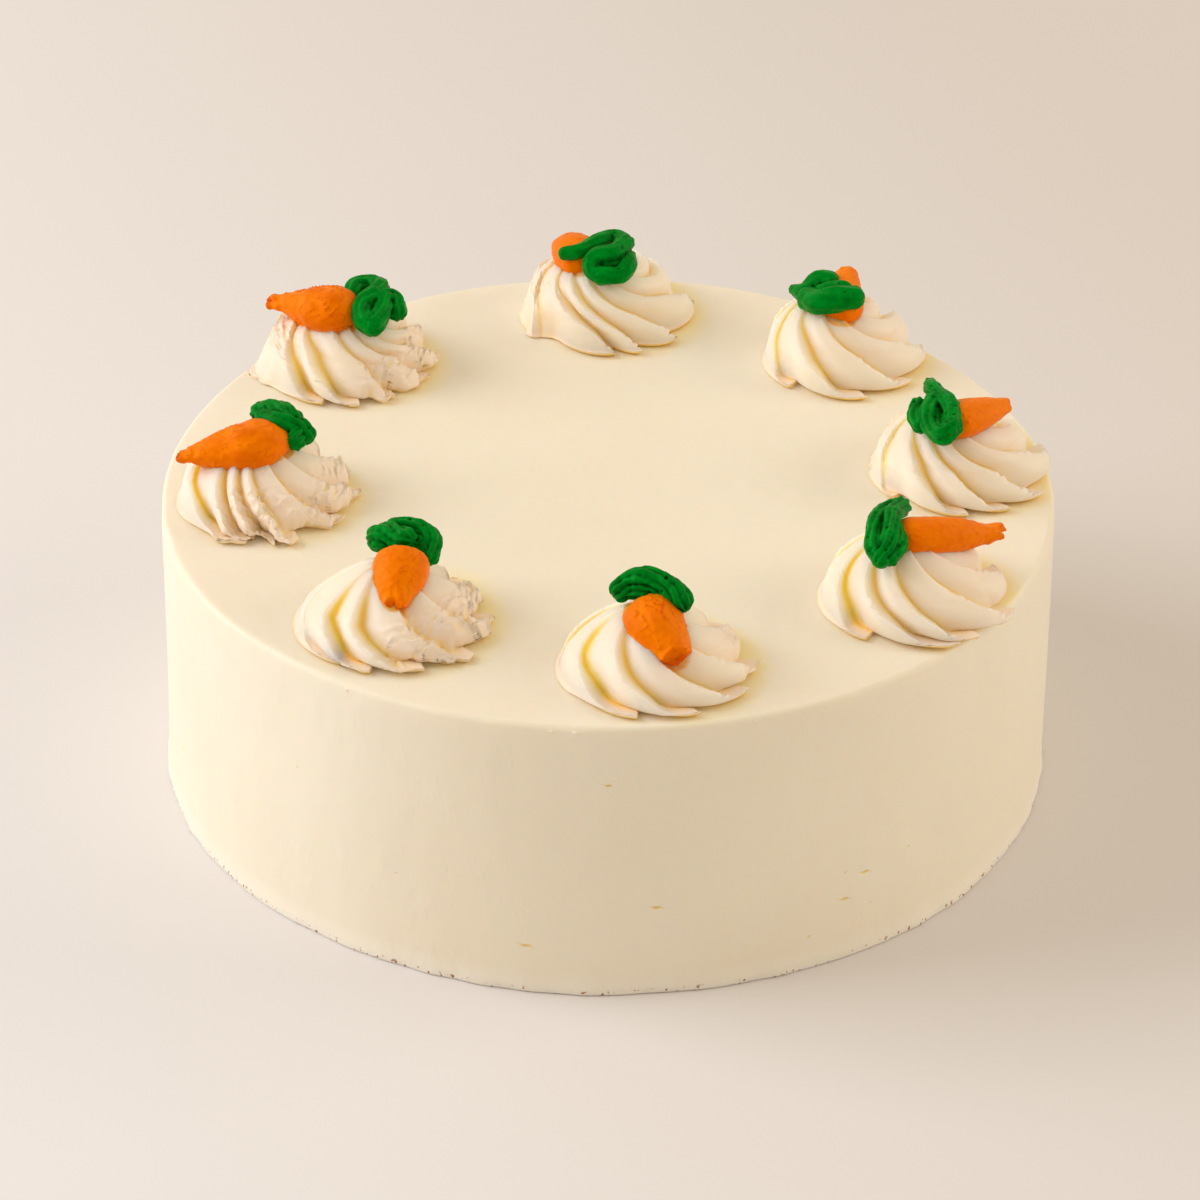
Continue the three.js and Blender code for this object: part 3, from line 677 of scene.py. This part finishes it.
def buttercream():
    material, tree, shader = surface("piped_buttercream")
    shader.inputs["Subsurface Radius"].default_value = (1.0, 0.88, 0.65)
    shader.inputs["Subsurface Scale"].default_value = 0.011
    shader.inputs["Specular IOR Level"].default_value = 0.4
    tree.links.new(masked(tree, "solid"), shader.inputs["Subsurface Weight"])
    place = tree.nodes.new("ShaderNodeTexCoord").outputs["Object"]
    colour = blended(tree, clouds(tree, place, 90, 3), (0.94, 0.78, 0.60), (0.95, 0.795, 0.70))
    # Painted glow and shade: grooves, the skin under the blades and torn hollows are painted golden, standing
    # in for light through the buttercream.
    colour = blended(tree, masked(tree, "painted_gold_light"), colour, (1.0, 0.69, 0.135))
    # Orange and green icing leave smears where they touch.
    colour = blended(tree, masked(tree, "orange_smear"), colour, (0.95, 0.46, 0.07))
    colour = blended(tree, masked(tree, "green_smear"), colour, (0.35, 0.52, 0.12))
    tree.links.new(colour, shader.inputs["Base Color"])
    grain = clouds(tree, place, 700, 5)
    embossed(tree, shader, grain, 0.3, 0.0003)
    tree.links.new(ranged(tree, grain, 0, 1, 0.38, 0.58), shader.inputs["Roughness"])
    return material


piped_buttercream = buttercream()
for index, rosette in enumerate(ROSETTES):
    node = f"rosette_{rosette['place']}"
    dressed(rosette_mesh(rosette, index), f"piped_{node}", piped_buttercream, node)

# The frosting beside a rosette is painted golden, a painted glow that stands in for light
# through the buttercream, most in the shade on the side away from the window, and only on the
# flat top: the bearing of that side in radians, how far past the rosette's outline the glow fades
# out, and the heights between which it comes up, in mm.
GLOW_BEARING = 0.5
GLOW_FADES = (-2, 6)
GLOW_HEIGHTS = (83.6, 84.8)
frosted = bpy.data.objects["frosted_cake"].data
spots = places_of(frosted) / MM
painted_glow_beside = np.zeros(len(spots))
for rosette in ROSETTES:
    bearing = math.radians(rosette["bearing"])
    x = spots[:, 0] - rosette["ring"] * math.cos(bearing)
    y = spots[:, 1] - rosette["ring"] * math.sin(bearing)
    reach, further, towards = rosette["reach"]
    outline = reach + further * np.cos(np.arctan2(y, x) - math.radians(towards))
    away = np.clip(0.35 + 0.65 * np.cos(np.arctan2(y, x) - GLOW_BEARING), 0, 1)
    beside = (1 - ease(*GLOW_FADES, np.hypot(x, y) - outline)) * away
    painted_glow_beside = np.maximum(painted_glow_beside, beside * ease(*GLOW_HEIGHTS, spots[:, 2]))
mask(frosted, "painted_glow_beside", painted_glow_beside)


# ---------------------------------------------------------------- the piped carrots
# Orange icing pressed from a small bag onto each rosette in one push. A carrot starts fat
# under its leaves, is drawn out thinner, and keeps dents, creases, pits and a torn tip.
CARROT_COLUMNS = 96
CARROT_RINGS = 132
CARROT_FLATNESS = 0.86
# Carrots and leaves are measured from this height in mm, just clear of the frosting.
MEASURED_FROM = 85.3
# Where a carrot starts and ends, in mm from the middle of its rosette, its widths at even
# steps from its start to its tip, how lumpy it is, and how ragged its tip is.
CARROTS = {
    "back": (
        (-4, -4, 18.5), (-11.5, 12, 17), (9, 12.6, 13.6, 14, 14, 13.4, 12.4, 10.6, 7.6), 0.4, 0.3,
    ),
    "back_right": (
        (1.4, -8, 17.3), (3.6, 15, 19.5), (8, 11.6, 12, 11.6, 10.6, 9.6, 8.8, 7.8, 6), 0.4, 0.4,
    ),
    "right": (
        (-2, -8, 19), (17, 7.5, 17), (9, 11.8, 12.4, 12, 11, 9.6, 8, 6, 4.2), 0.2, 0.3,
    ),
    "front_right": (
        (-4, -3, 19.5), (26, 10, 13.5), (9, 11.6, 12.2, 12, 11.4, 10.2, 8, 5.2, 6.4), 0.4, 0.9,
    ),
    "front": (
        (-2.6, 4.6, 17.6), (7.2, -15, 11.5), (8, 12.4, 15.4, 16.6, 16.2, 14.6, 12.6, 10.2, 7.6), 1.0, 0.5,
    ),
    "front_left": (
        (4.8, 4, 19), (2.6, -13.5, 12.5), (11, 14.2, 15.4, 15.4, 14.8, 13.2, 11, 8.4, 5.6), 0.5, 1.0,
    ),
    "left": (
        (8, -1.5, 19), (-23, -5, 15), (7, 12.4, 16, 16.8, 15, 12, 9.2, 6.6, 3.4), 1.0, 0.8,
    ),
    "back_left": (
        (1.5, -4.5, 19), (-24, 4, 18), (8, 13.8, 16.4, 16.4, 15.4, 12.8, 9.4, 5.4, 5.0), 1.3, 1.1,
    ),
}


def eased_through(values, at):
    """A smooth course through values at even steps, read at places between 0 and 1."""
    steps = np.linspace(0, 1, len(values))
    spread = 0.35 / len(values)
    taps = [np.interp(np.clip(at + spread * k, 0, 1), steps, values) for k in (-2, -1, 0, 1, 2)]
    return sum(taps) / len(taps)


def standing_on(place):
    """The middle of a rosette in mm, at the height that toppings are measured from."""
    rosette = next(rosette for rosette in ROSETTES if rosette["place"] == place)
    bearing = math.radians(rosette["bearing"])
    ring_radius = rosette["ring"]
    return np.array([ring_radius * math.cos(bearing), ring_radius * math.sin(bearing), MEASURED_FROM])


def carrot_mesh(place, index):
    start, tip, widths, lumpiness, raggedness = CARROTS[place]
    start, tip = np.array(start, float), np.array(tip, float)
    mesh, column, ring = piped_skin("carrot", CARROT_COLUMNS, CARROT_RINGS)
    length = np.linalg.norm(tip - start)
    axis = (tip - start) / length
    side = np.cross((0, 0, 1), axis)
    side /= np.linalg.norm(side)
    top = np.cross(axis, side)
    along = 0.5 - 0.5 * np.cos(ring / CARROT_RINGS * np.pi)
    along = mix(ring / CARROT_RINGS, along, 0.45)
    turn = column / CARROT_COLUMNS * 2 * np.pi
    # Both ends are rounded over, the start fully and the tip only a little.
    rounded = np.sqrt(np.clip(1 - np.clip(1 - along / 0.16, 0, 1) ** 2, 0, 1))
    rounded *= np.clip(1 - np.clip((along - 0.95) / 0.05, 0, 1) ** 3, 0, 1)
    radius = eased_through(widths, along) / 2 * rounded
    across = radius * np.cos(turn)
    upward = radius * np.sin(turn) * CARROT_FLATNESS
    # The tip is torn off on a slant, and flakes of it run on.
    slant = raggedness * ease(0.8, 1.0, along) * (0.9 * np.cos(turn - 1) + 1.1 * np.cos(3 * turn + index))
    places = (
        start + standing_on(place) + np.outer(along * length + slant, axis)
        + np.outer(across, side) + np.outer(upward, top)
    ) * MM
    put(mesh, places)
    push = np.zeros(len(places))
    axis, side, top = Vector(axis), Vector(side), Vector(top)
    for i, here in enumerate(map(Vector, places)):
        drawn = Vector((here.dot(axis) * 90, here.dot(side) * 230, here.dot(top) * 230))
        drawn += Vector((index * 7.3, 0, 0))
        dents = noise.noise(drawn)
        creases = abs(noise.noise(drawn * 2.3))
        push[i] = lumpiness * (0.5 * lay(here, 170, index) + 0.55 * dents)
        push[i] += 0.12 * lay(here, 600, index)
        push[i] -= lumpiness * 0.7 * max(0.0, 0.12 - creases) / 0.12 * max(0.0, dents + 0.2)
        push[i] += raggedness * 0.8 * lay(here, 420, index + 4) * float(ease(0.75, 0.95, along[i]))
        near = noise.voronoi(here * 300 + Vector((index, 0, 0)))[0][0]
        push[i] -= 0.30 * max(0.0, 1 - near / 0.22) * (lay(here, 150, index + 8) > 0.08)
    put(mesh, places, push)
    # Painted shade meant for the hollows. The carrot's faces point inwards, so this mark lands on its bumps.
    mask(mesh, "painted_crease_shade", hollows(mesh, 20, 0.55))
    return mesh


def orange_icing():
    material, tree, shader = surface("orange_icing")
    shader.inputs["Subsurface Weight"].default_value = 0.25
    shader.inputs["Subsurface Radius"].default_value = (1.0, 0.4, 0.02)
    shader.inputs["Subsurface Scale"].default_value = 0.0015
    shader.inputs["Specular IOR Level"].default_value = 0.18
    shader.inputs["Specular Tint"].default_value = (1.0, 0.4, 0.04, 1)
    place = tree.nodes.new("ShaderNodeTexCoord").outputs["Object"]
    patches = clouds(tree, place, 170, 4)
    colour = blended(tree, patches, (0.90, 0.17, 0.0), (1.0, 0.28, 0.0))
    # Painted shade: where the mask marks a hollow, the icing is painted a darker red.
    colour = blended(tree, masked(tree, "painted_crease_shade"), colour, (0.66, 0.10, 0.0))
    # Small air pits, dented by the relief and painted darker inside as shade.
    cells = tree.nodes.new("ShaderNodeTexVoronoi")
    cells.inputs["Scale"].default_value = 520
    tree.links.new(place, cells.inputs["Vector"])
    around_pit = ranged(tree, cells.outputs["Distance"], 0.05, 0.13)
    colour = blended(tree, around_pit, (0.66, 0.12, 0.0), colour)
    tree.links.new(colour, shader.inputs["Base Color"])
    relief = tree.nodes.new("ShaderNodeMath")
    relief.operation = "MULTIPLY_ADD"
    relief.inputs[1].default_value = 0.5
    tree.links.new(clouds(tree, place, 900, 4), relief.inputs[0])
    tree.links.new(around_pit, relief.inputs[2])
    embossed(tree, shader, relief.outputs["Value"], 0.5, 0.0003)
    tree.links.new(ranged(tree, patches, 0, 1, 0.35, 0.55), shader.inputs["Roughness"])
    return material


def smear(place, name, beside, reach, in_grooves):
    """Stains a rosette near the points beside it, farther in its grooves. All in mm."""
    mesh = bpy.data.objects[f"piped_rosette_{place}"].data
    places = places_of(mesh) / MM
    painted_gold_light = np.empty(len(places))
    mesh.attributes["painted_gold_light"].data.foreach_get("value", painted_gold_light)
    near = np.full(len(places), 99.0)
    for point, radius in beside:
        near = np.minimum(near, np.linalg.norm(places - point, axis=1) - radius)
    patchy = np.array([
        0.5 + 0.5 * lay(here, 0.35, 3) + 0.25 * lay(here, 0.9, 5) for here in map(Vector, places)
    ])
    spread = reach * (0.4 + 1.2 * patchy) + in_grooves * painted_gold_light * patchy
    mask(mesh, name, np.clip(1 - near / np.maximum(spread, 0.05), 0, 1) ** 1.5 * np.clip(0.4 + patchy, 0, 1))


carrot_icing = orange_icing()
for index, place in enumerate(CARROTS):
    node = f"carrot_{place}"
    dressed(carrot_mesh(place, index), f"piped_{node}", carrot_icing, node)
    start, tip, widths, _, raggedness = CARROTS[place]
    start, tip = standing_on(place) + start, standing_on(place) + tip
    core = [
        (mix(start, tip, at), 0.45 * float(eased_through(widths, at)))
        for at in np.linspace(0.12, 0.94, 24)
    ]
    smear(place, "orange_smear", core, 0.1 + 0.3 * raggedness, 4.5)


# ---------------------------------------------------------------- the green leaves
# Dark green icing squeezed out of a small nozzle in short looping ropes over the fat end of
# each carrot. The nozzle leaves fine ridges along a rope, and the ropes sink into each other.
ROPE_COLUMNS = 48
ROPE_STEPS = 80
ROPE_END_RINGS = 8
ROPE_RIDGES = 7
# How strongly a tuft shows the ridges of the nozzle and pits, beside the strongest.
LEAF_RELIEF = {
    "back": 0.3, "back_right": 0.3, "right": 0.6, "front_right": 0.7, "front": 1.0, "front_left": 0.8,
    "left": 0.6, "back_left": 0.5,
}
LEAF_VOXEL = 0.24 * MM
# Each rope has its thickness in mm, how thin it starts, and its route, in mm from the middle of
# the rosette as a carrot's is.
LEAVES = {
    "back": [
        (4.7, 0.85, [(-11.4, -3.7, 22.3), (-7, -3, 22.8), (-2.5, 1.5, 23), (3, 5.5, 23.2), (6.4, 1.5, 23.2)]),
        (5.2, 1.0, [
            (6.4, 1.5, 23.2), (3, -5, 23.7), (-2.4, -6, 22.2), (-3.6, -9, 19.9), (-0.6, -10.5, 18.7),
        ]),
        (5.4, 1.0, [(-0.6, -10.5, 18.7), (4.6, -10, 18.7), (6.8, -7, 19.7), (7.2, -2, 20.2)]),
        (6.0, 1.0, [(-2.4, -7, 18.6), (1, -6, 19.6), (5, -4.5, 20)]),
    ],
    "back_right": [
        (6.6, 0.5, [(-12, 6, 18.7), (-8.5, 3, 19.7), (-5, 6.5, 21.0), (-2, 6, 21.2)]),
        (7.4, 1.0, [(-8, -1, 19.6), (-5, -5.5, 21), (0, -5.6, 22.1), (5, -4.8, 22.2)]),
        (6.4, 1.0, [(-5, 1, 19.5), (-2, 1.5, 20.5), (2, 1, 21)]),
    ],
    "right": [
        (5.2, 0.8, [(-5, 11, 21.2), (-4, 4, 22.7), (0, -4.5, 22.7), (0.4, -12.8, 21)]),
        (5.4, 1.0, [
            (0.4, -12.8, 21), (-2.8, -15.4, 19.7), (-5.6, -10.5, 19.7), (-6, -4.5, 21.2), (-4.6, 0, 22.2),
        ]),
        (4.8, 1.0, [(-8.8, 0.5, 20.2), (-9.8, -4, 19.2), (-8.4, -7.5, 18.6)]),
        (5.4, 1.0, [(-2.6, 1, 19.6), (-2.2, -5, 19.4), (-1.8, -11, 18.6)]),
    ],
    "front_right": [
        (4.6, 1.0, [
            (-3.4, 8.5, 22.2), (-6.8, 5, 22.7), (-9, -1.5, 22.2), (-9.6, -8.5, 20.2), (-8, -12.6, 18.4),
        ]),
        (5.4, 1.0, [
            (-1.6, 9.5, 21.7), (-4, 3, 23.2), (-4.6, -4, 23.0), (-5.6, -9.6, 20.2), (-7.8, -12.6, 18.4),
        ]),
        (4.4, 1.0, [(-3, -2, 21.7), (-2.5, -7.5, 19.7), (-5, -12, 18.2)]),
        (4.2, 1.0, [(-6.2, 4, 19.8), (-6.8, -3, 19.4), (-7.4, -9, 17.8)]),
    ],
    "front": [
        (6.2, 1.0, [
            (-8, 5.5, 20.1), (-5, 6.9, 22.1), (-0.8, 6.3, 23.5),
            (3.4, 4.1, 23.5), (6.2, 2.4, 22.2), (8, 0.4, 20.2),
        ]),
        (4.6, 1.0, [(-5, 4.9, 20.5), (0, 4.5, 21.7), (4.6, 1.9, 21.1)]),
    ],
    "front_left": [
        (7.0, 1.0, [(-2.2, 10.5, 19.4), (1, 9.6, 20.7), (5, 6.5, 21.5)]),
        (5.8, 1.0, [(2, 12.0, 21.2), (6, 12, 21.7), (9.6, 11, 21.2), (11.8, 8, 19.4), (11.4, 4.6, 17.4)]),
        (5.0, 1.0, [(4, 9, 19.5), (8, 8.5, 19.5), (10, 6, 18.5)]),
    ],
    "left": [
        (6.6, 1.0, [(-1, 10.5, 20.7), (3.2, 8.5, 22.4), (7.8, 4, 22)]),
        (6.2, 1.0, [(0, 5.8, 21.2), (5, 2.6, 21.9), (9.8, 2.4, 20.7), (12, 1, 19.4)]),
        (5.0, 1.0, [(9.8, 2, 20.2), (9.2, -2.6, 19)]),
    ],
    "back_left": [
        (5.6, 1.0, [(-1, 2.5, 20.7), (0, 7, 21.7), (4.2, 8.2, 22.2), (6.8, 4.5, 22.5), (5.2, -0.5, 22.5)]),
        (6.2, 1.0, [(5.2, -0.5, 22.5), (2, -4.5, 21.5), (2.4, -8.4, 19.7), (5.4, -10.6, 18.7)]),
        (6.2, 1.0, [
            (5.4, -10.6, 18.7), (7.4, -6.5, 20.2), (8, -1, 21.5), (10.8, 0.4, 20.5), (12, -2.6, 18.9),
        ]),
        (6.4, 1.0, [(3, 3, 19.5), (4.6, -3, 19.4), (5, -7.5, 18.6)]),
    ],
}


def smooth_route(points, steps):
    """Even points and directions on one smooth curve through the route's points."""
    points = np.array(points, float)
    points = np.vstack([2 * points[0] - points[1], points, 2 * points[-1] - points[-2]])
    at = np.linspace(0, len(points) - 3, 40 * (len(points) - 3) + 1)
    part = np.minimum(at.astype(int), len(points) - 4)
    t = (at - part)[:, None]
    a, b, c, d = (points[part + k] for k in range(4))
    curve = 0.5 * (
        2 * b + (c - a) * t + (2 * a - 5 * b + 4 * c - d) * t ** 2 + (3 * b - a - 3 * c + d) * t ** 3
    )
    run = np.concatenate([[0], np.cumsum(np.linalg.norm(np.diff(curve, axis=0), axis=1))])
    even = np.linspace(0, run[-1], steps)
    curve = np.stack([np.interp(even, run, curve[:, k]) for k in range(3)], 1)
    ahead = np.gradient(curve, axis=0)
    return curve, ahead / np.linalg.norm(ahead, axis=1)[:, None], run[-1]


def rope_mesh(thick, start, route, relief, seed):
    curve, ahead, length = smooth_route(route, ROPE_STEPS)
    across = np.zeros_like(curve)
    across[0] = np.cross(ahead[0], (0, 0, 1.0))
    for step in range(1, ROPE_STEPS):
        across[step] = across[step - 1] - ahead[step] * np.dot(across[step - 1], ahead[step])
    across /= np.linalg.norm(across, axis=1)[:, None]
    upward = np.cross(across, ahead)
    mesh, column, ring = piped_skin("rope", ROPE_COLUMNS, ROPE_STEPS + 2 * ROPE_END_RINGS)
    # The first and last rings round the ends over, and the rest follow the route.
    step = np.clip(ring - ROPE_END_RINGS, 0, ROPE_STEPS - 1).astype(int)
    past_end = np.maximum(ring - (ROPE_STEPS + ROPE_END_RINGS - 1), 0) / (ROPE_END_RINGS + 1)
    beyond = np.where(ring < ROPE_END_RINGS, (ring - ROPE_END_RINGS) / ROPE_END_RINGS, past_end)
    turn = column / ROPE_COLUMNS * 2 * np.pi
    share = step / (ROPE_STEPS - 1)
    ridges = 1 + 0.14 * relief * np.cos(ROPE_RIDGES * (turn + 1.2 * share) + seed)
    swell = 1 + 0.07 * np.sin(share * length / thick * 3 + seed)
    radius = thick / 2 * mix(start, 1.0, np.clip(share * 3, 0, 1)) * ridges * swell
    spread = radius * np.sqrt(np.clip(1 - beyond ** 2, 0, 1))
    put(mesh, (
        curve[step] + ahead[step] * (beyond * radius * 0.9)[:, None]
        + across[step] * (spread * np.cos(turn))[:, None] + upward[step] * (spread * np.sin(turn))[:, None]
    ) * MM)
    return mesh


def leaves_mesh(place, index):
    ropes = bmesh.new()
    for number, (thick, start, route) in enumerate(LEAVES[place]):
        rope = rope_mesh(thick, start, route, LEAF_RELIEF[place], index * 9 + number)
        ropes.from_mesh(rope)
        bpy.data.meshes.remove(rope)
    bmesh.ops.translate(ropes, verts=ropes.verts, vec=Vector(standing_on(place)) * MM)
    bmesh.ops.recalc_face_normals(ropes, faces=ropes.faces)
    loose = bpy.data.meshes.new("ropes")
    ropes.to_mesh(loose)
    ropes.free()
    # The ropes run into each other where they touch.
    bundle = bpy.data.objects.new("ropes", loose)
    bpy.context.scene.collection.objects.link(bundle)
    melt = bundle.modifiers.new("melt", "REMESH")
    melt.mode = "VOXEL"
    melt.voxel_size = LEAF_VOXEL
    mesh = bpy.data.meshes.new_from_object(bundle.evaluated_get(bpy.context.evaluated_depsgraph_get()))
    bpy.data.objects.remove(bundle)
    bpy.data.meshes.remove(loose)
    places = places_of(mesh)
    relief = LEAF_RELIEF[place]
    push = np.zeros(len(places))
    for i, here in enumerate(map(Vector, places)):
        push[i] = (0.16 + 0.1 * relief) * lay(here, 230, index)
        push[i] += (0.06 + 0.14 * relief) * lay(here, 700, index + 2)
        near = noise.voronoi(here * 360 + Vector((0, index, 0)))[0][0]
        push[i] -= (0.2 + 0.5 * relief) * max(0.0, 1 - near / 0.28) * (lay(here, 190, index + 6) > 0.0)
    put(mesh, places, push)
    # Painted shade: the hollows between ridges and ropes are marked to be painted darker.
    mask(mesh, "painted_crease_shade", hollows(mesh, 14, 0.22))
    return mesh


def green_icing():
    material, tree, shader = surface("green_icing")
    shader.inputs["Subsurface Weight"].default_value = 0.15
    shader.inputs["Subsurface Radius"].default_value = (0.2, 1.0, 0.3)
    shader.inputs["Subsurface Scale"].default_value = 0.0008
    shader.inputs["Specular IOR Level"].default_value = 0.08
    shader.inputs["Specular Tint"].default_value = (0.0, 1.0, 0.25, 1)
    place = tree.nodes.new("ShaderNodeTexCoord").outputs["Object"]
    colour = blended(tree, clouds(tree, place, 260, 5), (0.0, 0.07, 0.002), (0.0, 0.35, 0.026))
    # Painted shade: the marked hollows are painted a darker green.
    colour = blended(tree, masked(tree, "painted_crease_shade"), colour, (0.0, 0.045, 0.002))
    tree.links.new(colour, shader.inputs["Base Color"])
    grain = clouds(tree, place, 1100, 4)
    embossed(tree, shader, grain, 0.5, 0.0003)
    tree.links.new(ranged(tree, grain, 0, 1, 0.26, 0.44), shader.inputs["Roughness"])
    return material


leaf_icing = green_icing()
for index, place in enumerate(LEAVES):
    node = f"leaves_{place}"
    dressed(leaves_mesh(place, index), f"piped_{node}", leaf_icing, node)
    core = [
        (standing_on(place) + point, 0.45 * thick)
        for thick, _, route in LEAVES[place] for point in smooth_route(route, 12)[0]
    ]
    smear(place, "green_smear", core, 0.5, 0.5)
